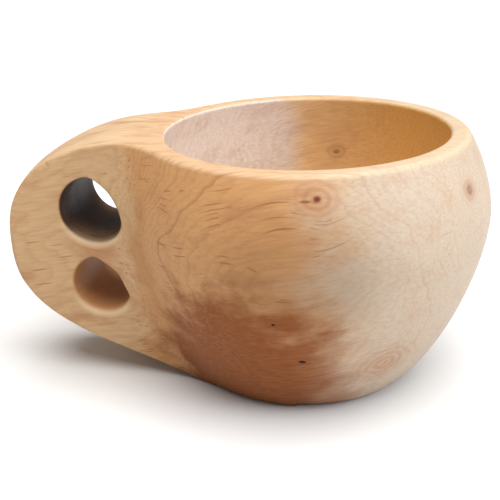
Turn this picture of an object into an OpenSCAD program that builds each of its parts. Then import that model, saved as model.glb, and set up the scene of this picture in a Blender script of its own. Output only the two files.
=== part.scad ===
// Kuksa: a drinking cup carved from one block of wood. Millimetres.
// The foot stands on z = 0, the bowl's axis is the Z axis and the handle points along -X.
// The handle is a flat-sided fin that grows out of the bowl, and two finger holes go
// through it from side to side, one above the other.

/* [Bowl] */
// Inside diameter of the mouth at the rim
mouth_d = 84; // [70:0.2:101]
// Thickness of the wall at the rim
rim_wall = 5.6; // [4.6:0.1:6.8]
// How far the widest place of the bowl stands out beyond the rim
belly_out = 7.2; // [6:0.1:8.8]
// How far below the rim the bowl is widest
belly_drop = 24; // [20:0.1:28.8]
// Height from the foot to the rim
height = 76.2; // [63.4:0.1:91.6]
// How far the wall has turned in at the foot from the widest place
foot_in = 25.3; // [21:0.1:30.4]
// Thickness of the wall at the widest place
belly_wall = 9; // [7.5:0.1:10.8]
// Thickness of the floor
floor_t = 10; // [8:0.5:12]
// Radius that softens both edges of the rim
rim_round = 1.3; // [0.5:0.1:2]

/* [Handle] */
// How far the handle's tip stands out from the widest place of the bowl
handle_out = 37.5; // [31:0.1:45]
// How far below the rim the tip is
tip_drop = 31.2; // [26:0.1:37.4]
// How far inside the rim's outer edge the handle's top begins
root_in = 1.2; // [0.5:0.1:2.5]
// How far inside the foot's edge the handle's keel ends
heel_in = 1.5; // [0.5:0.1:4]
// Thickness of the handle where it leaves the bowl, at the height of the rim
handle_t_bowl = 35.8; // [30:0.1:43]
// Thickness of the handle at its tip, at the height of the rim
handle_t_tip = 33.2; // [28:0.1:39]
// How much thinner the handle is for each millimetre further down
handle_thinning = 0.072; // [0:0.002:0.1]
// How much the handle's curved edge is crowned, from its sides to its middle
edge_crown = 1.9; // [0:0.1:3]
// Size of the hollow fillet between the handle's flat sides and the bowl
root_fillet = 22.8; // [18:0.1:27.4]
// Size of the round-over between the handle's flat sides and its curved edge
edge_round = 3; // [1:0.1:6]

/* [Finger holes] */
// Diameter of the upper hole
upper_hole_d = 20.4; // [17:0.1:24.5]
// Diameter of the lower hole
lower_hole_d = 18.6; // [15.5:0.1:22.4]
// Wood left between the upper hole and the bowl's hollow
upper_hole_wall = 6.9; // [5.7:0.1:8.3]
// Wood left between the lower hole and the bowl's hollow
lower_hole_wall = 6.8; // [5.6:0.1:8.2]
// How far above the middle of the handle the pair of holes sits
pair_lift = 0.6; // [0:0.1:1.5]
// Wood left between the two holes
hole_web = 4.7; // [3.9:0.1:5.7]
// Radius that softens the edges of the holes
hole_round = 1.5; // [0.5:0.1:1.9]

/* [Curves] */
// Fullness of the bowl between the rim and its widest place
shoulder_curve = 1.92; // [1.6:0.02:2.4]
// Fullness of the bowl's side below its widest place
side_curve = 1.3; // [1.1:0.02:1.6]
// Fullness of the bowl where it turns in to the foot
foot_curve = 1.54; // [1.3:0.02:1.9]
// Fullness of the handle's top line at its outer end
top_curve = 2.3; // [1.9:0.02:2.8]
// Fullness of the handle's top line near the rim
brow_curve = 2.24; // [1.86:0.02:2.7]
// Fullness of the handle's keel below the tip
keel_curve = 2.94; // [2.4:0.02:3.5]
// Fullness of the hollow's rounded bottom
hollow_curve = 2.1; // [1.8:0.1:2.6]

/* [Hidden] */

rim_r = mouth_d / 2 + rim_wall;
belly_r = rim_r + belly_out;
foot_r = belly_r - foot_in;
hollow_r = belly_r - belly_wall;
hollow_depth = height - floor_t;
reach = belly_r + handle_out;
root = rim_r - root_in;
heel = foot_r - heel_in;
handle_taper = (handle_t_bowl - handle_t_tip) / 2 / (reach - belly_r);
handle_half_t = handle_t_bowl / 2 + handle_taper * belly_r;
upper_hole_x = hollow_r + upper_hole_wall + upper_hole_d / 2;
lower_hole_x = hollow_r + lower_hole_wall + lower_hole_d / 2;
pair_drop = (top_drop(upper_hole_x) + keel_drop(lower_hole_x)) / 2 - pair_lift;
upper_hole_drop = pair_drop - (lower_hole_d + hole_web) / 2;
lower_hole_drop = pair_drop + (upper_hole_d + hole_web) / 2;
past = 1;               // how far a cut runs past the surface it opens
edge_columns = 7;       // columns from the handle's middle to its edge
side_columns = 38;      // columns from the handle's edge to the far side of the bowl
half_around = edge_columns + side_columns;
around = 2 * half_around;
down = 38;              // rows of the outer skin
crowding = 0.6;         // how much the columns crowd towards the handle
hollow_rows = 40;
edge_steps = 8;
edge_turn = 62;         // angle of the round edge of a hole that is cut
$fn = 128;

// 1 at s = 0, falling to 0 at s = 1: a quarter of a superellipse
function quarter(s, down_power, across_power) =
    pow(1 - pow(min(max(s, 0), 1), down_power), 1 / across_power);

// The larger and the smaller of two radii, blended where they are less than k apart
function blend_max(a, b, k) = max(a, b) + pow(max(k - abs(a - b), 0), 2) / (4 * k);
function blend_min(a, b, k) = min(a, b) - pow(max(k - abs(a - b), 0), 2) / (4 * k);

// How far a quarter-round edge of radius r stands back, at depth d under the edge
function edge_back(d, r) = d < r ? r - sqrt(r * r - pow(r - d, 2)) : 0;

// Outside radius of the bowl alone, at depth d below the rim
function bowl_r(d) = d < belly_drop
    ? rim_r + (belly_r - rim_r) * quarter(1 - d / belly_drop, shoulder_curve, 1)
    : foot_r + (belly_r - foot_r)
        * quarter((d - belly_drop) / (height - belly_drop), foot_curve, side_curve);

// Distance from the axis to the handle's curved edge, at depth d below the rim
function handle_x(d) = d < tip_drop
    ? root + (reach - root) * quarter(1 - d / tip_drop, brow_curve, top_curve)
    : heel + (reach - heel) * quarter((d - tip_drop) / (height - tip_drop), keel_curve, 1);

// Depth of the handle's top line and of its keel at distance x from the axis
function top_drop(x) =
    tip_drop * (1 - quarter((x - root) / (reach - root), top_curve, brow_curve));
function keel_drop(x) =
    tip_drop + (height - tip_drop) * pow((reach - x) / (reach - heel), 1 / keel_curve);

// Half of the handle's thickness at distance x from the axis and depth d
function handle_y(x, d) = handle_half_t - handle_taper * x - handle_thinning / 2 * d;

// How far the handle's crowned edge stands back in the direction a from the middle
function crown_back(a, d) =
    edge_crown * pow(min(1, handle_x(d) * abs(tan(a)) / handle_y(handle_x(d), d)), 2);

// Distance from the axis to the handle's surface, in the direction a from its middle
function fin_r(a, d) = cos(a) <= 0 ? 0
    : blend_min(handle_y(0, d) / (abs(sin(a)) + handle_taper * cos(a)),
                (handle_x(d) - crown_back(a, d)) / cos(a), edge_round);

// Distance from the axis to the outer skin
function skin_r(a, d) =
    blend_max(bowl_r(d), fin_r(a, d), root_fillet) - edge_back(d, rim_round);

// Direction in which the handle's flat side meets its curved edge, at depth d
function edge_angle(d) = atan2(handle_y(handle_x(d), d), handle_x(d) - edge_crown);

// Directions of the columns on one side: one column runs along the handle's edge, and the
// columns behind it crowd towards the handle
function side_angle(i, d) = i < edge_columns
    ? edge_angle(d) * i / edge_columns
    : let (s = (i - edge_columns) / side_columns)
        edge_angle(d) + (180 - edge_angle(d)) * (s - crowding * sin(180 * s) / PI);
function column_angle(i, d) =
    i <= half_around ? side_angle(i, d) : 360 - side_angle(around - i, d);

// Rows crowd towards the rim and the foot
function row_depth(j) = height * (1 - cos(180 * j / down)) / 2;

skin_points = [
    for (j = [0 : down])
        for (i = [0 : around - 1])
            let (d = row_depth(j), a = column_angle(i, d), r = skin_r(a, d))
                [-r * cos(a), -r * sin(a), height - d],
    [0, 0, height],
    [0, 0, 0]
];
top_middle = (down + 1) * around;
foot_middle = top_middle + 1;

skin_faces = [
    for (j = [0 : down - 1])
        for (i = [0 : around - 1])
            let (n = (i + 1) % around, a = j * around, b = a + around)
                [a + i, a + n, b + n],
    for (j = [0 : down - 1])
        for (i = [0 : around - 1])
            let (n = (i + 1) % around, a = j * around, b = a + around)
                [a + i, b + n, b + i],
    for (i = [0 : around - 1])
        [top_middle, (i + 1) % around, i],
    for (i = [0 : around - 1])
        [foot_middle, down * around + i, down * around + (i + 1) % around]
];

// The block carved to its outside shape, not yet hollowed
module outside() {
    polyhedron(points = skin_points, faces = skin_faces, convexity = 4);
}

// Inside radius at depth d: it widens from the mouth and rounds off to the floor
function inside_r(d) = d < belly_drop
    ? mouth_d / 2 + (hollow_r - mouth_d / 2) * quarter(1 - d / belly_drop, shoulder_curve, 1)
    : hollow_r * quarter((d - belly_drop) / (hollow_depth - belly_drop),
                         hollow_curve, hollow_curve);

module hollow() {
    rotate_extrude()
        polygon([
            [0, height + past],
            [mouth_d / 2 + rim_round, height + past],
            for (j = [0 : edge_steps - 1])
                let (d = rim_round * (1 - cos(90 * j / edge_steps)))
                    [inside_r(d) + edge_back(d, rim_round), height - d],
            for (j = [0 : hollow_rows - 1])
                let (s = sin(90 * j / hollow_rows),
                     d = rim_round + (hollow_depth - rim_round) * s)
                    [inside_r(d), height - d],
            [0, floor_t]
        ]);
}

// One finger hole with softened edges, x from the axis and d below the rim
module finger_hole(hole_d, x, d) {
    half = handle_y(x, d);
    end_r = hole_d / 2 + hole_round * (1 - cos(edge_turn));
    end_y = half + root_fillet;
    flare = [
        for (k = [0 : edge_steps])
            let (t = edge_turn * k / edge_steps)
                [hole_d / 2 + hole_round * (1 - cos(t)), half - hole_round * (1 - sin(t))],
        [end_r, end_y]
    ];
    translate([-x, 0, height - d])
        rotate([90, 0, 0])
            rotate_extrude()
                polygon([
                    [0, -end_y],
                    for (k = [len(flare) - 1 : -1 : 0]) [flare[k][0], -flare[k][1]],
                    for (p = flare) p,
                    [0, end_y]
                ]);
}

module cup() {
    color("burlywood")
        difference() {
            outside();
            hollow();
            finger_hole(upper_hole_d, upper_hole_x, upper_hole_drop);
            finger_hole(lower_hole_d, lower_hole_x, lower_hole_drop);
        }
}

cup();
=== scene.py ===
# %% [markdown]
# A carved wooden drinking cup
#
# A kuksa is a northern drinking cup cut from a single block of birch: a round bowl, and a flat-sided fin
# beside it with two finger holes. There are no pieces to join. The measured model, loaded first, fixes
# where everything is and how big it is, and what follows makes the carved, sanded and oiled wood that is
# seen: one closed skin, one wood, a pale table and soft light.

import math

import bmesh
import bpy
import numpy as np
from mathutils import Matrix, Vector


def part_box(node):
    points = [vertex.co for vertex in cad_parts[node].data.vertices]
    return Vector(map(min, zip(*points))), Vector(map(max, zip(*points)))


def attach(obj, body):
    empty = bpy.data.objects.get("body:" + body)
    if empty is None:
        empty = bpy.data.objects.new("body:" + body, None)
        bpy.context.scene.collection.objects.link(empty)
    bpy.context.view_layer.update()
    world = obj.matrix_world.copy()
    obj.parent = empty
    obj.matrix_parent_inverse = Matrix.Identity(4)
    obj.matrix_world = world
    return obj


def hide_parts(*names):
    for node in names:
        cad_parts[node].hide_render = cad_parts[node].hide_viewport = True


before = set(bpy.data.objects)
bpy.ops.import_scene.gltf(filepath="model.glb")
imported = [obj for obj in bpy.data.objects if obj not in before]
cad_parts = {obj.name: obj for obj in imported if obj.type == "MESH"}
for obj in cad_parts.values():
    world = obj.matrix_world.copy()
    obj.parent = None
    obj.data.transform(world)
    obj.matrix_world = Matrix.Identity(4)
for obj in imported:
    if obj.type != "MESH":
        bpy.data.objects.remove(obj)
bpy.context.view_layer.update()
MM = 0.001

# %% [markdown]
# Where the cup is looked at from
#
# The eye stands in front of the cup and above it, a little to the right, so that the handle points
# slightly away. It could be placed with a Track To constraint, but a fixed matrix says exactly where the
# view goes: turn, then tip down, then roll. The eye is given as a distance, a height angle and a turn
# about the middle of the mouth.

# %% Camera
low, high = (np.array(corner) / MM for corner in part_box("cup"))
height = high[2]

eye_distance = 308.6
lens = 74.2
film_width = 36.0
nearest_seen = 0.01
eye_height_angle = math.radians(14.23)
eye_turn = math.radians(6.66)
look_turn = math.radians(10.09)
look_down = math.radians(20.85)
look_roll = math.radians(-1.83)

eye = Vector((
    eye_distance * math.cos(eye_height_angle) * math.sin(eye_turn),
    -eye_distance * math.cos(eye_height_angle) * math.cos(eye_turn),
    height + eye_distance * math.sin(eye_height_angle),
)) * MM
view_turn = (
    Matrix.Rotation(look_turn, 4, "Z")
    @ Matrix.Rotation(math.pi / 2 - look_down, 4, "X")
    @ Matrix.Rotation(look_roll, 4, "Z")
)
camera_data = bpy.data.cameras.new("view")
camera_data.lens = lens
camera_data.sensor_width = film_width
camera_data.clip_start = nearest_seen
camera = bpy.data.objects.new("view", camera_data)
camera.matrix_world = Matrix.Translation(eye) @ view_turn
bpy.context.collection.objects.link(camera)
bpy.context.scene.camera = camera
print("eye at", [round(c, 4) for c in eye])

# %% [markdown]
# The sizes of the cup
#
# The measured model gives the length, the width and the height. The other sizes are the carver's: how
# wide the mouth is, how the fin thins towards its tip, how far the edges are softened. They could be
# measured off the model's points too, but a named value says what the carver was after.

# %% Sizes in millimetres
belly_r = min(high[0], high[1])
reach = -low[0]
mouth_r = 42.0
rim_wall = 5.6
belly_wall = 9.0
floor_t = 10.0
foot_in = 25.3
rim_r = mouth_r + rim_wall
belly_drop = 24.0
foot_r = belly_r - foot_in
hollow_r = belly_r - belly_wall
hollow_depth = height - floor_t
rim_round = 1.3

tip_drop = 31.2
root_in = 1.2
heel_in = 1.5
fin_t_bowl = 35.8
fin_t_tip = 33.2
root_x = rim_r - root_in
heel_x = foot_r - heel_in
fin_taper = (fin_t_bowl - fin_t_tip) / 2 / (reach - belly_r)
fin_half = fin_t_bowl / 2 + fin_taper * belly_r
fin_thinning = 0.036
root_fillet = 22.8
shoulder_curve = 1.92
side_curve = 1.3
foot_curve = 1.54
hollow_curve = 2.1
brow_curve = 2.24
top_curve = 2.3
keel_curve = 2.94
edge_round = 3.0
edge_crown = 1.9
print("fin half thickness at the tip:", round(fin_half - fin_taper * reach, 2), "mm")

# %% [markdown]
# The curves of the outside
#
# The outside could be sculpted from a subdivided cage, but a cage would drift from the measured sizes.
# Here it is a formula: at each depth under the rim, the bowl is a circle and the fin is a slab with a
# curved end, and the larger of the two distances from the bowl's axis is taken. Blending the two where
# they are nearly equal gives the hollow fillet at the root, and blending slab and end gives the fin's
# rounded edge.

# %% Outside curves
def quarter(s, down_power, across_power):
    """A quarter of a superellipse: (1 - s^down)^(1/across), which is 1 at s = 0 and 0 at s = 1."""
    return (1 - np.clip(s, 0, 1) ** down_power) ** (1 / across_power)


def blend_max(a, b, k):
    """The larger of a and b, plus (k - |a - b|)^2 / 4k where they are less than k apart."""
    return np.maximum(a, b) + np.maximum(k - np.abs(a - b), 0) ** 2 / (4 * k)


def blend_min(a, b, k):
    """The smaller of a and b, less (k - |a - b|)^2 / 4k where they are less than k apart."""
    return np.minimum(a, b) - np.maximum(k - np.abs(a - b), 0) ** 2 / (4 * k)


def edge_back(d, r):
    """How far a quarter-round edge of radius r stands back at depth d: r - sqrt(r^2 - (r - d)^2)."""
    return r - np.sqrt(r * r - np.clip(r - d, 0, r) ** 2)


def bowl_r(d):
    """Radius of the bowl at depth d: it swells from the rim to the belly, then closes to the foot."""
    sunk = (d - belly_drop) / (height - belly_drop)
    above = rim_r + (belly_r - rim_r) * quarter(1 - d / belly_drop, shoulder_curve, 1)
    below = foot_r + (belly_r - foot_r) * quarter(sunk, foot_curve, side_curve)
    return np.where(d < belly_drop, above, below)


def fin_x(d):
    """How far the fin's curved edge is from the axis at depth d: out to the tip, then back to the heel."""
    sunk = (d - tip_drop) / (height - tip_drop)
    above = root_x + (reach - root_x) * quarter(1 - d / tip_drop, brow_curve, top_curve)
    below = heel_x + (reach - heel_x) * quarter(sunk, keel_curve, 1)
    return np.where(d < tip_drop, above, below)


def skin_r(a, d):
    """Distance from the axis to the outside in direction a, where a = 0 is the fin and a quarter turn is
    the near side: blend_max of the bowl and of the slab, less the softening of the rim's outer edge. The
    slab is blend_min of its flat side, half thickness / (|sin a| + taper cos a), and its end, x / cos a.
    The end is crowned: x stands back by crown (y / half)^2, which is nothing in the middle."""
    ahead = np.maximum(np.cos(a), 1e-3)
    side = (fin_half - fin_thinning * d) / (np.abs(np.sin(a)) + fin_taper * ahead)
    end_half = fin_half - fin_taper * fin_x(d) - fin_thinning * d
    across = np.minimum(1, fin_x(d) * np.abs(np.sin(a)) / ahead / end_half)
    end = (fin_x(d) - edge_crown * across ** 2) / ahead
    slab = np.where(np.cos(a) > 1e-3, blend_min(side, end, edge_round), 0)
    return blend_max(bowl_r(d), slab, root_fillet) - edge_back(d, rim_round)


def at(a, d, r):
    """The point in direction a, at depth d and r from the axis. The fin points along -X."""
    a, d, r = np.broadcast_arrays(a, d, r)
    return np.stack([-r * np.cos(a), -r * np.sin(a), height - d], axis=-1)


print("widest:", round(float(skin_r(math.pi, belly_drop)), 2), "mm from the axis")

# %% [markdown]
# Where the columns and rows run
#
# A grid of equal angles would starve the fin, which is far from the axis, and equal depths would starve
# its nearly level top. So the columns are spread evenly along the outline at the tip's height, and the
# rows evenly along the fin's middle line and the bowl's side together. Three rows are placed on purpose:
# above the upper finger hole, between the two holes and under the lower one.

# %% Columns and rows
hole_r = (10.2, 9.3)
hole_wall = (6.9, 6.8)
hole_x = tuple(-(hollow_r + wall + radius) for wall, radius in zip(hole_wall, hole_r))
web = 4.7
upper_hole_drop = 21.47
hole_d = (upper_hole_drop, upper_hole_drop + sum(hole_r) + web)
hole_margin = 4.6
columns = 352
row_step = 0.62

fine_a = np.linspace(0, 2 * math.pi, 40001)
outline = at(fine_a, tip_drop, skin_r(fine_a, tip_drop))
outline_run = np.append(0, np.cumsum(np.linalg.norm(np.diff(outline, axis=0), axis=1)))
column_a = np.interp(np.arange(columns) / columns * outline_run[-1], outline_run, fine_a)

fine_d = height * np.linspace(0, 1, 40001) ** 3
fin_line = at(0, fine_d, skin_r(0, fine_d))
fin_run = np.append(0, np.cumsum(np.linalg.norm(np.diff(fin_line, axis=0), axis=1)))
row_run = (fin_run + fine_d) / 2

row_marks = [0, hole_d[0] - hole_r[0] - hole_margin, hole_d[0] + hole_r[0] + web / 2,
             hole_d[1] + hole_r[1] + hole_margin, height]
mark_runs = np.interp(row_marks, fine_d, row_run)
row_counts = np.maximum(1, np.round(np.diff(mark_runs) / row_step).astype(int))
row_d = np.concatenate([
    np.interp(np.linspace(a, b, n, endpoint=False), row_run, fine_d)
    for a, b, n in zip(mark_runs[:-1], mark_runs[1:], row_counts)
] + [[height]])
window_rows = np.cumsum(row_counts)[:3]
print(columns, "columns,", len(row_d), "rows, finger-hole rows at", window_rows)

# %% [markdown]
# One grid for the whole carving
#
# A turner would make a bowl by spinning a profile, and this skin is the same idea: a profile that starts
# in the middle of the floor, climbs the hollow, rolls over the rim, runs down the outside and ends in the
# middle of the foot. It is carried round the axis, and its outer half changes with the direction, which
# is what grows the fin. Rows of rings, columns of directions, and a single point at either end.

# %% Rings from the floor to the foot
hollow_rings = 62
lip_rings = 7


def inside_r(d):
    """Radius of the hollow at depth d: it widens from the mouth, then rounds off to the floor."""
    sunk = (d - belly_drop) / (hollow_depth - belly_drop)
    above = mouth_r + (hollow_r - mouth_r) * quarter(1 - d / belly_drop, shoulder_curve, 1)
    below = hollow_r * quarter(sunk, hollow_curve, hollow_curve)
    return np.where(d < belly_drop, above, below)


def rings():
    """All rings as an array of rows x columns x 3. The hollow's depths follow a sine, so that they crowd
    where the wall turns into the floor, and the rim's crest is three straight steps."""
    a = column_a[None, :]
    hollow_d = hollow_depth * np.sin(np.linspace(np.pi / 2, 0, hollow_rings)[1:-1])
    hollow_d = hollow_d[hollow_d > rim_round]
    lip_d = rim_round * (1 - np.cos(np.linspace(np.pi / 2, 0, lip_rings)))
    inner_d = np.append(hollow_d, lip_d)[:, None]
    inner = at(a, inner_d, inside_r(inner_d) + edge_back(inner_d, rim_round))
    outer = at(a, row_d[:, None], skin_r(a, row_d[:, None]))
    across = np.array([0.25, 0.5, 0.75])[:, None, None]
    crest = inner[-1] * (1 - across) + outer[0] * across
    foot = outer[-1] * np.array([0.85, 0.6, 0.3])[:, None, None] * [1, 1, 0]
    return np.concatenate([inner, crest, outer, foot]), len(inner) + len(crest)


grid, first_outer_row = rings()
print("grid of", grid.shape[0], "rings by", grid.shape[1], "points")

# %% [markdown]
# The finger holes
#
# The holes were cut by hand, and the upper corner of each, nearest the bowl, was left flatter than a
# circle. Two holes through a fin could be cut with a Boolean, but its thin triangles would spoil the
# soft, rolled edges that make the holes look hand-finished. So a block of the grid's cells is left out
# round each hole, on both sides of the fin, and one new grid fills the gap: it starts on the near block's
# border, runs in to the hole, rolls over its edge, goes through the wood and comes out the same way on
# the far side. Both grids have the same points on the border, so they join without a seam.

# %% Finger-hole grids
edge_soft = 0.9
edge_soft_below = 1.5
edge_soft_corner = 0.7
flat_corner = (1.0, 2.9)
corner_blend = 6.0
flat_way = np.array([0.76, 0.65])
flat_steps, edge_steps, wall_steps = 8, 7, 24


def skin_y(x, d):
    """How far the fin's side is from its middle plane, at x and depth d. The direction a whose outside
    lies at that x is found by halving: skin_r(a, d) cos a falls steadily as a turns away from the fin."""
    near, far = np.full(x.shape, 0.03), np.full(x.shape, 1.5)
    for _ in range(40):
        middle = (near + far) / 2
        beyond = skin_r(middle, d) * np.cos(middle) > -x
        near, far = np.where(beyond, middle, near), np.where(beyond, far, middle)
    return skin_r(near, d) * np.sin(near)


def border_of(rows, cols):
    """Grid indices (row, column) once round a block of cells, as two arrays."""
    (r0, r1), (c0, c1) = rows, cols
    wide, deep = np.ones(c1 - c0, int), np.ones(r1 - r0, int)
    r = np.concatenate([wide * r0, np.arange(r0, r1), wide * r1, np.arange(r1, r0, -1)])
    c = np.concatenate([np.arange(c0, c1), deep * c1, np.arange(c1, c0, -1), deep * c0])
    return r, c


def wall_q(ray, r0, flat):
    """Distance from a hole's middle to its wall along a ray: a circle of radius r0, cut by a chord that
    lies flat inside it on the side of the flat corner, which is at (r0 - flat) / cos of the turn."""
    corner = np.clip(ray @ flat_way, 0.05, 1)
    return blend_min(r0, (r0 - flat) / corner, corner_blend)


def hole_grid(x0, d0, r0, flat, rows, cols):
    """A grid (border points x steps) from the near border through the hole to the far border. In the
    plane of the fin a point is the hole's middle plus a distance q along a ray to its border point. q
    goes evenly from the border to the edge's start, then q = start - soft sin t and the surface sinks by
    soft (1 - cos t), a quarter turn that ends on the wall, and the wall goes straight through."""
    r, c = border_of(rows, cols)
    border = grid[r + first_outer_row, c]
    ray = np.stack([border[:, 0] - x0, border[:, 2] - (height - d0)], axis=1)
    far_q = np.linalg.norm(ray, axis=1)
    ray = ray / far_q[:, None]
    below = np.clip(-ray[:, 1], 0, 1)
    corner = np.clip(ray @ flat_way, 0.05, 1)
    soft = edge_soft + edge_soft_below * below ** 2 + edge_soft_corner * flat * corner ** 6
    start = wall_q(ray, r0, flat) + soft

    s = np.linspace(0, 1, flat_steps + 1)[None, :-1]
    t = np.linspace(0, np.pi / 2, edge_steps)[None, :]
    q_flat = far_q[:, None] * (1 - s) + start[:, None] * s
    q_edge = start[:, None] - soft[:, None] * np.sin(t)
    q = np.concatenate([q_flat, q_edge], axis=1)
    sunk = np.concatenate([0 * q_flat, soft[:, None] * (1 - np.cos(t))], axis=1)
    x = x0 + q * ray[:, :1]
    z = height - d0 + q * ray[:, 1:]
    y = skin_y(x, height - z) - sunk
    near = np.stack([x, -y, z], axis=2)
    near[:, 0] = border
    through = np.linspace(0, 1, wall_steps + 2)[1:-1][None, :, None]
    far = near[:, ::-1] * [1, -1, 1]
    wall = near[:, -1:] * (1 - through) + far[:, :1] * through
    return np.concatenate([near, wall, far], axis=1)


def window_columns():
    """The two columns that stand a margin clear of both holes at their own depths."""
    x_clear = (min(hole_x[0] - hole_r[0], hole_x[1] - hole_r[1]) - hole_margin,
               max(hole_x[0] + hole_r[0], hole_x[1] + hole_r[1]) + hole_margin)
    column_x = -skin_r(column_a, tip_drop) * np.cos(column_a)
    half = columns // 2
    return tuple(int(np.searchsorted(column_x[:half], x)) for x in x_clear)


window = window_columns()
hole_grids = [
    hole_grid(hole_x[k], hole_d[k], hole_r[k], flat_corner[k], window_rows[k:k + 2], window)
    for k in range(2)
]
print("window columns", window, "hole grids", [g.shape[:2] for g in hole_grids])

# %% [markdown]
# The skin in one piece
#
# On the real cup there is no inside and outside to put together: one surface runs all the way round. So
# the grids become one closed mesh, welded where they share points. They could be left as separate
# surfaces that only touch, but light would leak at the seams and there would be no volume to print. A cup
# of this size has a little under 300 cubic centimetres of wood in it.

# %% Skin mesh
weld_distance = 2e-6


def quads(count, wrap_first):
    """Four corner indices for each cell of a grid numbered along its second direction. The first
    direction is closed into a loop if wrap_first."""
    rows, cols = count
    r = np.arange(rows if wrap_first else rows - 1)[:, None]
    c = np.arange(cols - 1)[None, :]
    n = (r + 1) % rows
    return np.stack([r * cols + c, r * cols + c + 1, n * cols + c + 1, n * cols + c], axis=-1)


def cup_mesh():
    """Joins the skin's cells outside the windows, the two hole grids and the fans at both ends."""
    rows, cols = grid.shape[:2]
    points = [grid.transpose(1, 0, 2).reshape(-1, 3)]
    cells = quads((cols, rows), True)
    keep = np.ones(cells.shape[:2], bool)
    r0, r2 = first_outer_row + window_rows[0], first_outer_row + window_rows[2]
    keep[window[0]:window[1], r0:r2] = False
    keep[cols - window[1]:cols - window[0], r0:r2] = False
    faces = cells[keep].tolist()
    start = rows * cols
    for hole in hole_grids:
        points.append(hole.reshape(-1, 3))
        faces += (quads(hole.shape[:2], True).reshape(-1, 4) + start).tolist()
        start += hole.shape[0] * hole.shape[1]
    points.append(np.array([[0, 0, height - hollow_depth], [0, 0, 0]]))
    ring = np.arange(cols)
    after = (ring + 1) % cols
    middle = np.full(cols, start)
    faces += np.stack([ring * rows, after * rows, middle], axis=1).tolist()
    faces += np.stack([(after + 1) * rows - 1, (ring + 1) * rows - 1, middle + 1], axis=1).tolist()

    mesh = bpy.data.meshes.new("carved_cup")
    mesh.from_pydata((np.concatenate(points) * MM).tolist(), [], faces)
    work = bmesh.new()
    work.from_mesh(mesh)
    bmesh.ops.remove_doubles(work, verts=work.verts, dist=weld_distance)
    bmesh.ops.recalc_face_normals(work, faces=work.faces)
    open_edges = sum(not e.is_manifold for e in work.edges)
    volume = work.calc_volume(signed=True) * 1e6
    work.to_mesh(mesh)
    work.free()
    mesh.shade_smooth()
    print(len(mesh.polygons), "faces,", open_edges, "open edges,", round(volume, 1), "cm3")
    return mesh


cup = bpy.data.objects.new("carved_cup", cup_mesh())
bpy.context.collection.objects.link(cup)

# %% [markdown]
# Where the finish changes
#
# The hollow, the walls of the finger holes, their lower edges and the upward faces of the rim each get
# colours of their own: lit and shaded walls in the hollow, painted shade in the upper hole, painted
# highlights on the lower edges and the rim. So the finish has to know where they are. They could be
# painted on by hand.
# Working them out from the same formulas as the shape keeps every mark on its edge.

# %% Marks for the finish
edge_highlight_width = 1.5
sideways_least = 13


def mark_wood(mesh):
    """Five numbers a point, for the finish, from 0 to 1: whether it is in the hollow (inside radius not
    passed), whether it is on the wall of the upper or of the lower finger hole (fading over half a
    millimetre outside the wall), how much it is on the lower edge of a hole (fading over 2.4 mm, and only
    below its middle), and how much it faces up (from the normal's height)."""
    points = np.empty(len(mesh.vertices) * 3, np.float32)
    mesh.vertices.foreach_get("co", points)
    x, y, z = points.reshape(-1, 3).T / MM
    depth = height - z
    marks = {"hollow": (np.hypot(x, y) < inside_r(depth) + 0.4) & (depth < hollow_depth + 0.4)}
    normals = np.empty(len(mesh.vertices) * 3, np.float32)
    mesh.vertex_normals.foreach_get("vector", normals)
    normals = normals.reshape(-1, 3)
    edge = np.zeros(len(x))
    for k, name in enumerate(("upper_bore", "lower_bore")):
        ray = np.stack([x - hole_x[k], hole_d[k] - depth], axis=1)
        far = np.linalg.norm(ray, axis=1)
        ray = ray / np.maximum(far, 1)[:, None]
        outside_wall = far - wall_q(ray, hole_r[k], flat_corner[k])
        marks[name] = np.clip(1.1 - outside_wall * 2, 0, 1) * (outside_wall > -1)
        on_edge = np.clip(1.6 - outside_wall / edge_highlight_width, 0, 1) * (outside_wall > -1)
        on_edge *= np.abs(y) > sideways_least
        edge += on_edge * np.clip((-ray[:, 1] - 0.35) * 2.5, 0, 1)
    # The lower-edge mark says where a painted highlight goes.
    marks["lit_lower_edge"] = edge
    marks["top"] = np.clip((normals[:, 2] - 0.45) * 3, 0, 1)
    for name, amount in marks.items():
        made = mesh.attributes.new(name, "FLOAT", "POINT")
        made.data.foreach_set("value", amount.astype(np.float32))
        print(name, int((amount > 0).sum()), "points")


mark_wood(cup.data)

# %% [markdown]
# Small tools for the wood
#
# The wood is worked out at every point of the block from its place in space, as real grain is, so that
# the same ring comes out on the rim, on the fin and inside the bowl. These helpers only shorten the
# writing of the shader: each one adds a single node and returns its result.

# %% Shader helpers
def add(kind, sockets=(), **settings):
    """Adds a node of a kind. Sockets is a list of (input, value or other node's output)."""
    made = tree.nodes.new(kind)
    for name, value in settings.items():
        setattr(made, name, value)
    for socket, value in sockets:
        if isinstance(value, bpy.types.NodeSocket):
            tree.links.new(value, made.inputs[socket])
        else:
            made.inputs[socket].default_value = value
    return made


def calc(operation, *values, clamp=False):
    """One arithmetic step on numbers."""
    return add("ShaderNodeMath", list(enumerate(values)), operation=operation, use_clamp=clamp).outputs[0]


def smooth(value, low, high, start=0.0, end=1.0):
    """Goes from start to end, with soft shoulders, as the value goes from low to high."""
    sockets = [("Value", value), ("From Min", low), ("From Max", high), ("To Min", start), ("To Max", end)]
    return add("ShaderNodeMapRange", sockets, interpolation_type="SMOOTHSTEP").outputs["Result"]


def noise(place, scale, detail=2.0, roughness=0.5):
    """Cloudy values around a half, at so many clouds a unit of place."""
    sockets = [("Vector", place), ("Scale", scale), ("Detail", detail), ("Roughness", roughness)]
    return add("ShaderNodeTexNoise", sockets).outputs["Fac"]


def stretched(place, turn, scale):
    """The place turned by three angles in degrees, then scaled along the three axes."""
    angles = tuple(math.radians(angle) for angle in turn)
    turned = add("ShaderNodeMapping", [("Vector", place), ("Rotation", angles)])
    return add("ShaderNodeMapping", [("Vector", turned.outputs[0]), ("Scale", scale)]).outputs[0]


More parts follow.
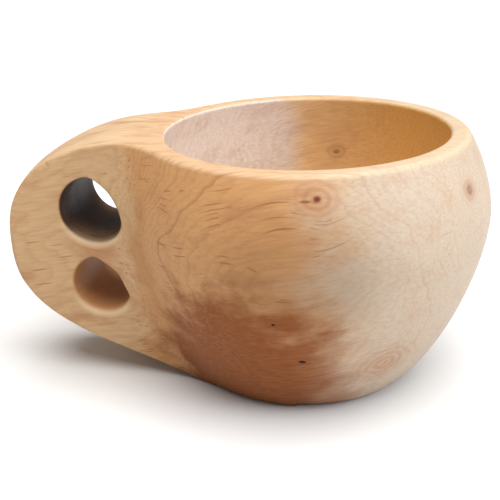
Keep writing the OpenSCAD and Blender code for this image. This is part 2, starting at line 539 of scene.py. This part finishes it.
def away(place, middle, radii):
    """Distance from a middle, counted in radii: 1 on the ellipsoid with those radii."""
    moved = add("ShaderNodeVectorMath", [(0, place), (1, middle)], operation="SUBTRACT").outputs[0]
    inverse = tuple(1 / radius for radius in radii)
    sized = add("ShaderNodeVectorMath", [(0, moved), (1, inverse)], operation="MULTIPLY").outputs[0]
    return add("ShaderNodeVectorMath", [(0, sized)], operation="LENGTH").outputs["Value"]


def tint(share, under, over, blend="MIX"):
    """Lays one colour over another, by a share from 0 to 1."""
    made = add("ShaderNodeMix", data_type="RGBA", blend_type=blend)
    for socket, value in ((0, share), (6, under), (7, over)):
        if isinstance(value, bpy.types.NodeSocket):
            tree.links.new(value, made.inputs[socket])
        else:
            made.inputs[socket].default_value = value
    return made.outputs[2]


birch = bpy.data.materials.new("birch")
birch.use_nodes = True
tree = birch.node_tree
tree.nodes.clear()
object_place = add("ShaderNodeTexCoord").outputs["Object"]
place = add("ShaderNodeVectorMath", [(0, object_place), (1, (1000, 1000, 1000))],
            operation="MULTIPLY").outputs[0]
print("shader places are counted in millimetres")

# %% [markdown]
# Growth rings and fibres
#
# The block was split from a trunk that lay along the handle, with the heart behind the cup. The rings
# are distances from that heart line, made wavy by a slow noise, and where the surface turns away from
# you, at the fillet and round the sides, it crosses many of them and they show as steep curved lines.
# A printed ring pattern could be laid on instead, but it wouldn't agree with itself round the rim. The
# fibres run along the trunk: they are noise drawn out along the grain.

# %% Rings and fibres
grain_turn = (0, 10, 0)
heart_at = (0, 58, 62)
ring_width = 1.5
ring_sway = 20
ring_ripple = 3.5
grain = stretched(place, grain_turn, (1, 1, 1))
sway = noise(stretched(place, grain_turn, (0.35, 1, 1)), 0.035, 2)
ripple = noise(stretched(place, grain_turn, (0.3, 1, 1)), 0.16, 2)
heart_line = stretched(grain, (0, 0, 0), (0, 1, 1))
from_heart = add("ShaderNodeVectorMath", [(0, heart_line), (1, heart_at)],
                 operation="DISTANCE").outputs["Value"]
waves = calc("ADD", calc("MULTIPLY", sway, ring_sway), calc("MULTIPLY", ripple, ring_ripple))
waved = calc("ADD", from_heart, waves)
ring_count = calc("DIVIDE", waved, ring_width)
ring_part = calc("FRACT", ring_count)
late_wood = calc("MULTIPLY", smooth(ring_part, 0.35, 0.93), smooth(ring_part, 1.0, 0.93))
ring_number = calc("FLOOR", ring_count)
ring_mark = add("ShaderNodeTexNoise", [("W", calc("MULTIPLY", ring_number, 3.7)), ("Scale", 1.0)],
                noise_dimensions="1D").outputs["Fac"]
strong_ring = calc("MULTIPLY", late_wood, smooth(ring_mark, 0.5, 0.72))

fibre = noise(stretched(place, grain_turn, (0.07, 1, 1)), 1.5, 3, 0.6)
fine_fibre = noise(stretched(place, grain_turn, (0.04, 1, 1)), 4.5, 2, 0.6)
print("a ring every", ring_width, "mm")

# %% [markdown]
# Flecks along the grain
#
# Birch is marked by short reddish-brown flecks, a few millimetres long and under half a millimetre
# thick, where an insect's tunnel was filled in as the tree grew. Each fleck is the middle of a cell of
# a cell pattern drawn out along the grain, and only some cells have one. They come in crowds, so a slow
# noise says where. On the fin the pattern lies straight along the block; on the bowl, where the carver's
# cut follows the tunnels round, it is wrapped about the bowl's axis, or the flecks would be cut to dots.
# Thin strips laid on the skin would do it too, but they would stand proud, and a fleck doesn't.

# %% Flecks
def flecks(where, length, thickness, share, crowd_size, shift):
    """Spindles at the middles of cells: 1 inside a fleck and 0 outside. The cells are a little longer and
    thicker than a fleck, and a share of them is filled, more where the crowd noise is high."""
    shape = stretched(where, (0, 0, 0), (0.7 / length, 0.45 / thickness, 0.55 / thickness))
    moved = add("ShaderNodeVectorMath", [(0, shape), (1, (shift, shift, shift))], operation="ADD").outputs[0]
    cells = add("ShaderNodeTexVoronoi", [("Vector", moved), ("Scale", 1.0), ("Randomness", 1.0)])
    luck = add("ShaderNodeSeparateColor", [(0, cells.outputs["Color"])]).outputs[0]
    crowd = smooth(noise(moved_place(shift), 1 / crowd_size, 1), 0.4, 0.66)
    filled = calc("LESS_THAN", luck, calc("MULTIPLY", crowd, share))
    return calc("MULTIPLY", smooth(cells.outputs["Distance"], 0.42, 0.2), filled)


def moved_place(shift):
    """The place moved along all three axes, so that two crowds don't fall on each other."""
    far = (shift * 40, shift * 40, shift * 40)
    return add("ShaderNodeVectorMath", [(0, place), (1, far)], operation="ADD").outputs[0]


parts_of_place = add("ShaderNodeSeparateXYZ", [(0, place)])
along, across, up = (parts_of_place.outputs[k] for k in range(3))
bowl_radius = 50
fleck_slope = -0.14
fleck_waver = 18
run = calc("MULTIPLY", calc("ARCTAN2", across, along), bowl_radius)
climb = calc("MULTIPLY_ADD", noise(place, 0.035, 1), fleck_waver, calc("MULTIPLY", run, fleck_slope))
wrapped = add("ShaderNodeCombineXYZ", [(0, run), (2, calc("ADD", up, climb))]).outputs[0]
on_bowl = smooth(along, -47, -41)
near_half = smooth(along, 18, 4)

bowl_share = calc("MULTIPLY_ADD", near_half, 0.36, 0.05)
few = calc("MULTIPLY", bowl_share, 0.6)
long_flecks = calc("MULTIPLY", flecks(wrapped, 11, 0.4, bowl_share, 22, 1.3), on_bowl)
short_flecks = calc("MULTIPLY", flecks(wrapped, 5, 0.34, few, 15, 4.1), on_bowl)
fin_flecks = calc("MULTIPLY", flecks(grain, 7, 0.4, 0.12, 20, 2.6), calc("SUBTRACT", 1, on_bowl))
short_flecks = calc("MAXIMUM", short_flecks, fin_flecks)
print("flecks 11, 7 and 5 mm long")

# %% [markdown]
# Colour
#
# Oiled birch goes from cream through honey to a reddish brown where the heartwood was stained. Along
# this block the fin's end is cream and the near half of the bowl is honey, partly the wood's tone and
# partly painted shade. The far half, which faces the side lamp, is pale: partly sapwood and partly
# painted light. Inside, the left wall is painted pale rose as if lit by the side lamp, and the far half
# golden as painted shade warmed by bounced light. The colours are laid over each other: these long zones
# first, then a painted highlight that makes the upward faces of the rim and the fin's top paler, then
# rings, fibres and flecks. One colour ramp over a noise would be shorter, but its light and dark would
# fall anywhere, and here they follow the heartwood.

# %% Colours
# Some of these colours stand for light and shade: the pale rose and the golden of the hollow are its lit and
# shaded walls, the pale laid on the rim's top and the holes' lower edges is a painted highlight, and the
# darkening of the bowl's front and the dark of the upper bore are painted shade.
cream = (0.58, 0.385, 0.21, 1)
honey = (0.52, 0.26, 0.10, 1)
rosy = (0.40, 0.185, 0.08, 1)
pale = (0.445, 0.375, 0.305, 1)
lit_pale_rose = (0.74, 0.66, 0.60, 1)
shaded_golden = (0.78, 0.46, 0.135, 1)
highlight_pale = (0.66, 0.49, 0.32, 1)
ring_brown = (0.25, 0.095, 0.035, 1)
fleck_brown = (0.24, 0.064, 0.018, 1)
heart_brown = (0.215, 0.055, 0.006, 1)
knot_red = (0.15, 0.035, 0.016, 1)
bore_shade = (0.055, 0.019, 0.009, 1)
hole_black = (0.01, 0.004, 0.003, 1)
painted_shade_tone = (0.60, 0.55, 0.50, 1)

slow = noise(stretched(place, grain_turn, (0.45, 1, 1)), 0.045, 3, 0.55)
middling = noise(stretched(place, grain_turn, (0.35, 1, 1)), 0.17, 3, 0.6)
drift = calc("MULTIPLY_ADD", noise(stretched(place, grain_turn, (0.7, 1, 1)), 0.07, 4, 0.6), 30, -15)
strayed = calc("ADD", along, drift)
hollow_mark = add("ShaderNodeAttribute", attribute_name="hollow").outputs["Fac"]

# The near half's honey is partly the wood's tone and partly painted shade; the far half's pale, facing the
# side lamp, is partly sapwood and partly painted light.
warm_part = calc("MULTIPLY", smooth(strayed, -54, -44), smooth(strayed, 18, 2))
pale_part = smooth(strayed, -5, 26)
colour = tint(calc("MULTIPLY_ADD", slow, 0.4, -0.05, clamp=True), cream, honey)
colour = tint(calc("MULTIPLY", warm_part, 0.85), colour, honey)
colour = tint(calc("MULTIPLY", pale_part, 0.85), colour, pale)
# Inside, the left wall gets pale rose, painted light from the side lamp, and the far half golden, painted
# shade warmed by bounced light.
gold_edge = smooth(calc("MULTIPLY_ADD", drift, 0.35, along), -15, -2)
hollow_shade_share = calc("MULTIPLY_ADD", smooth(along, -4, 34), 0.28, calc("MULTIPLY", gold_edge, 0.72))
colour = tint(hollow_mark, colour, tint(hollow_shade_share, lit_pale_rose, shaded_golden))
# Upward faces high on the cup, the rim and the fin's top, are painted paler: a painted highlight from the
# overhead lamp.
top_mark = add("ShaderNodeAttribute", attribute_name="top").outputs["Fac"]
rim_share = calc("MULTIPLY_ADD", hollow_mark, -0.6, calc("MULTIPLY", top_mark, 0.6), clamp=True)
colour = tint(calc("MULTIPLY", smooth(up, 62, 74), rim_share), colour, highlight_pale)
not_pale = calc("MULTIPLY_ADD", pale_part, -0.65, 1)
not_pale = calc("MULTIPLY", not_pale, calc("MULTIPLY_ADD", hollow_mark, -0.6, 1))
colour = tint(calc("MULTIPLY", smooth(middling, 0.46, 0.74, 0, 0.6), not_pale), colour, rosy)
colour = tint(calc("MULTIPLY", late_wood, calc("MULTIPLY", not_pale, 0.13)), colour, ring_brown)
colour = tint(calc("MULTIPLY", strong_ring, calc("MULTIPLY", not_pale, 0.5)), colour, ring_brown)
colour = tint(smooth(fibre, 0.35, 0.75, 0.0, 0.22), colour, ring_brown)
colour = tint(smooth(fine_fibre, 0.4, 0.8, 0.0, 0.18), colour, cream)
fleck_share = calc("MULTIPLY_ADD", hollow_mark, -0.9, calc("MULTIPLY_ADD", pale_part, -0.7, 1), clamp=True)
fleck_share = calc("MULTIPLY", fleck_share, smooth(up, 75.5, 72))
colour = tint(calc("MULTIPLY", short_flecks, calc("MULTIPLY", fleck_share, 0.5)), colour, fleck_brown)
colour = tint(calc("MULTIPLY", long_flecks, calc("MULTIPLY", fleck_share, 0.6)), colour, fleck_brown)
print("fourteen wood colours")

# %% [markdown]
# The stained patch, the knots and the pin holes
#
# These are single marks, so each has a middle in the block. The stain is the lower front of the bowl up
# to a ragged edge, and above it a soft patch on the front of the bowl is darkened: painted shade. A knot
# is a branch that ran out through the side: a dark core, a few rings round it, and the grain swept past
# it. The wall of the upper finger hole is painted nearly black as shade, darkest in its upper part, the
# lower hole's wall is laid over with honey, and the lower edges of both holes are painted pale as a
# highlight. Those places come from the marks on the mesh, and the rest are distances from points in the
# block. They could be painted on by hand, but would have to be painted again when the grid changes.

# %% Stain, knots and pin holes
ragged = noise(stretched(place, grain_turn, (0.6, 1, 1)), 0.11, 4, 0.55)
ragged_far = calc("MULTIPLY_ADD", ragged, 1.1, -0.55)
stain_middle = (-11.5, -38, 8)
stain_radii = (33, 34, 37.5)
stain_far = calc("ADD", away(place, stain_middle, stain_radii), ragged_far)
outside_mark = calc("SUBTRACT", 1, hollow_mark)
stain_end = smooth(calc("MULTIPLY_ADD", ragged, 24, along), 37, 13)
stain = calc("MULTIPLY", smooth(stain_far, 1.18, 0.74), calc("MULTIPLY", outside_mark, stain_end))
# A soft darker patch on the front of the bowl, multiplied into the colour: painted shade.
front_shade_middle = (3, -52, 49)
front_shade_radii = (26, 22, 22)
front_shade = smooth(away(place, front_shade_middle, front_shade_radii), 1.25, 0.35)
front_shade = calc("MULTIPLY", front_shade, calc("MULTIPLY", outside_mark, 0.65))
colour = tint(front_shade, colour, painted_shade_tone, "MULTIPLY")
stain_depth = calc("MULTIPLY", stain, smooth(fibre, 0.2, 0.7, 0.84, 1.0))
colour = tint(stain_depth, colour, heart_brown)


def knot(colour, middle, core, halo, strength):
    """A dark core of one radius, inside rings that fade out by the halo's radius."""
    far = calc("ADD", away(place, middle, (1.15, 1, 0.9)), calc("MULTIPLY_ADD", middling, 4, -2))
    rings = calc("MULTIPLY_ADD", calc("SINE", calc("MULTIPLY", far, 2.9)), 0.5, 0.5)
    fade = calc("MULTIPLY", smooth(far, halo, core), strength)
    colour = tint(calc("MULTIPLY", calc("MULTIPLY", rings, fade), 0.5), colour, ring_brown)
    colour = tint(calc("MULTIPLY", fade, 0.4), colour, rosy)
    return tint(calc("MULTIPLY", smooth(far, core * 1.2, core * 0.3), strength), colour, knot_red)


under_the_rim = ((8.3, -49.7, 70.8), 0.9, 7.5, 1.0)
far_right = ((47.3, -22.6, 65.4), 2.2, 5.5, 0.5)
in_the_hollow = ((5.2, 46.3, 57.0), 1.5, 5.0, 0.6)
rings_low_down = ((26.0, -36.0, 18.0), 0.1, 12.0, 0.9)
for marks_of_knot in (under_the_rim, far_right, in_the_hollow, rings_low_down):
    colour = knot(colour, *marks_of_knot)

tail = smooth(away(place, (5.4, -50.4, 70.1), (2.4, 2, 0.5)), 1.0, 0.3)
colour = tint(calc("MULTIPLY", tail, 0.7), colour, knot_red)
between_holes = smooth(away(place, (-62, -16, 42), (9, 8, 6)), 1.2, 0.3)
colour = tint(calc("MULTIPLY", between_holes, 0.75), colour, rosy)
# The lower edges of the finger holes are painted pale: a painted highlight where they face up into the
# light.
edge_mark = add("ShaderNodeAttribute", attribute_name="lit_lower_edge").outputs["Fac"]
colour = tint(calc("MULTIPLY", edge_mark, 0.7), colour, highlight_pale)
pin_hole = smooth(away(place, (3.5, -45.9, 22.5), (1.2, 1.2, 0.65)), 1.0, 0.7)
pin_dot = smooth(away(place, (-3.5, -51.3, 35.8), (0.6, 0.6, 0.5)), 1.0, 0.6)
holes = calc("MAXIMUM", pin_hole, pin_dot)
colour = tint(holes, colour, hole_black)
# The upper hole's wall is painted nearly black, more so in its upper part: painted shade. The lower hole's
# wall is laid over with honey.
bore_shade_share = smooth(up, 44.5, 51, 0.6, 0.97)
for bore, share, tone in (("upper_bore", bore_shade_share, bore_shade), ("lower_bore", 0.8, honey)):
    bore_mark = add("ShaderNodeAttribute", attribute_name=bore).outputs["Fac"]
    colour = tint(calc("MULTIPLY", bore_mark, share), colour, tone)
print("stain, four knots, two pin holes, two dark bores")

# %% [markdown]
# Sheen and bump
#
# The cup is sanded and oiled, not varnished: a soft sheen, a little duller along the open fibres, and a
# surface that the fingers would call smooth but that isn't flat. The fibres are too fine to be modelled
# and could be left out, but then the oil would shine like plastic. So the bump is drawn from the same
# fibres and flecks as the colour.

# %% Sheen and bump
satin = 0.45
dull = 0.56
fibre_height = 0.035
fine_height = 0.02
fleck_depth = 0.02
pin_depth = 0.3
facet_height = 0.5
facets = noise(place, 0.09, 1)
all_flecks = calc("MAXIMUM", long_flecks, short_flecks)
relief = calc("ADD", calc("MULTIPLY", fibre, fibre_height), calc("MULTIPLY", fine_fibre, fine_height))
relief = calc("SUBTRACT", relief, calc("MULTIPLY", all_flecks, fleck_depth))
relief = calc("SUBTRACT", relief, calc("MULTIPLY", holes, pin_depth))
relief = calc("ADD", relief, calc("MULTIPLY", facets, facet_height))
bump = add("ShaderNodeBump", [("Height", relief), ("Strength", 0.5), ("Distance", 0.001)])
surface = add("ShaderNodeBsdfPrincipled", [
    ("Base Color", colour),
    ("Roughness", smooth(fibre, 0.3, 0.7, satin, dull)),
    ("Normal", bump.outputs[0]),
    ("IOR", 1.48),
    ("Specular IOR Level", 0.2),
])
add("ShaderNodeOutputMaterial", [("Surface", surface.outputs[0])])
cup.data.materials.append(birch)
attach(cup, "root")
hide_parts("cup")
print(len(tree.nodes), "nodes in the wood")

# %% [markdown]
# Table and light
#
# The cup stands on a plain pale table in a pale room, and nothing else is near it. Two lamps do the rest:
# a wide, soft one overhead, which picks out the rim and the top of the fin and lights the whole table
# evenly, and a cool softbox to the right, which whitens the right side of the bowl and the left wall of
# the hollow. More lamps would allow finer shading, but with two it stays plain which one does what.

# %% Table, room and lamps
table_white = (0.72, 0.72, 0.72, 1)
room_light = 0.27
cool_white = (0.86, 0.93, 1)
warm_white = (1, 0.985, 0.96)
side_light_at = (0.60, -0.20, 0.34)
side_light_aim = (-0.02, 0, 0.06)
side_light_size = (0.4, 0.4)
side_light_watts = 3.3
overhead_strength = 4.5
overhead_width = math.radians(66)
overhead_lean = math.radians(6)

bpy.ops.mesh.primitive_plane_add(size=6)
table = bpy.context.object
table.name = "table"
pale = bpy.data.materials.new("pale")
pale.use_nodes = True
pale.node_tree.nodes["Principled BSDF"].inputs["Base Color"].default_value = table_white
pale.node_tree.nodes["Principled BSDF"].inputs["Roughness"].default_value = 0.9
pale.node_tree.nodes["Principled BSDF"].inputs["Specular IOR Level"].default_value = 0.1
table.data.materials.append(pale)

room = bpy.data.worlds.new("room")
room.use_nodes = True
room.node_tree.nodes["Background"].inputs["Color"].default_value = (1, 1, 1, 1)
room.node_tree.nodes["Background"].inputs["Strength"].default_value = room_light
bpy.context.scene.world = room
bpy.context.scene.view_settings.view_transform = "Standard"


def softbox(name, stand, aim, size, power, colour):
    """A rectangular lamp at a place, turned to look at a point of the cup. Metres and watts."""
    data = bpy.data.lights.new(name, "AREA")
    data.shape = "RECTANGLE"
    data.size, data.size_y = size
    data.energy = power
    data.color = colour
    lamp = bpy.data.objects.new(name, data)
    lamp.location = stand
    lamp.rotation_euler = (Vector(aim) - Vector(stand)).to_track_quat("-Z", "Y").to_euler()
    bpy.context.collection.objects.link(lamp)


softbox("side_light", side_light_at, side_light_aim, side_light_size, side_light_watts, cool_white)

overhead_data = bpy.data.lights.new("overhead", "SUN")
overhead_data.energy = overhead_strength
overhead_data.angle = overhead_width
overhead_data.color = warm_white
overhead = bpy.data.objects.new("overhead", overhead_data)
overhead.rotation_euler = (overhead_lean, overhead_lean, 0)
bpy.context.collection.objects.link(overhead)
print("one softbox and one overhead lamp")
